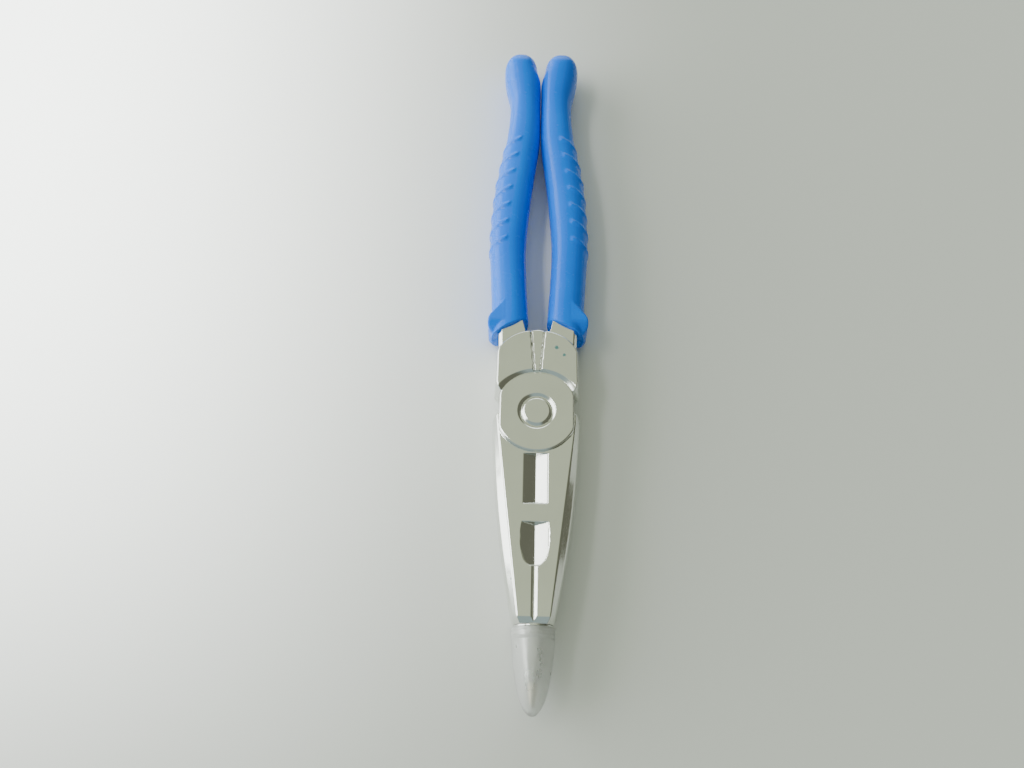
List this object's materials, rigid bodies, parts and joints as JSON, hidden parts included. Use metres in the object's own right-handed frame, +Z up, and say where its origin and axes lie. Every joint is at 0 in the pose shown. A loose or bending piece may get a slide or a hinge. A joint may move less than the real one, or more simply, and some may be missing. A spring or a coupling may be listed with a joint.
{
  "type": "pliers-shaped ballpoint pen",
  "caption": "Novelty ballpoint pen shaped like closed long-nose pliers, with a silver head, blue curved grips and a translucent pull-off cap over the nose.",
  "frame": {"origin": "on the surface the pen lies on, below the middle of its length and width", "axes": "+Z up out of the front face, +Y towards the handle ends, -Y towards the writing tip, X across the width"},
  "size_m": [0.0238, 0.16, 0.012],
  "materials": {
    "head_chrome": "metallised plastic, bright",
    "grip_blue": "glossy moulded plastic",
    "nose_silver": "metallised plastic, satin",
    "tube_clear": "translucent plastic tube",
    "ink": "thick ballpoint ink",
    "grease": "clear yellowish grease",
    "tip_metal": "turned nickel silver",
    "ball_metal": "polished carbide",
    "cap_frosted": "translucent moulded plastic"
  },
  "bodies": {
    "handle": {"front_head_shell": "head_chrome", "rear_head_shell": "head_chrome", "left_grip_front": "grip_blue", "left_grip_rear": "grip_blue", "right_grip_front": "grip_blue", "right_grip_rear": "grip_blue"},
    "writing_unit": {"nose_cone": "nose_silver", "refill_tube": "tube_clear", "ink_column": "ink", "grease_follower": "grease", "writing_tip": "tip_metal"},
    "ball": {"writing_ball": "ball_metal"},
    "cap": {"pen_cap": "cap_frosted"}
  },
  "joints": [
    {"name": "writing_unit_pull", "type": "slide", "parent": "handle", "child": "writing_unit", "axis": [0, -1, 0], "range_m": [0, 0.07]},
    {"name": "cap_pull", "type": "slide", "parent": "writing_unit", "child": "cap", "axis": [0, -1, 0], "range_m": [0, 0.03]},
    {"name": "ball_roll", "type": "hinge", "parent": "writing_unit", "child": "ball", "pos_m": [0, -0.0777, 0.006], "axis": [1, 0, 0], "continuous": true}
  ]
}
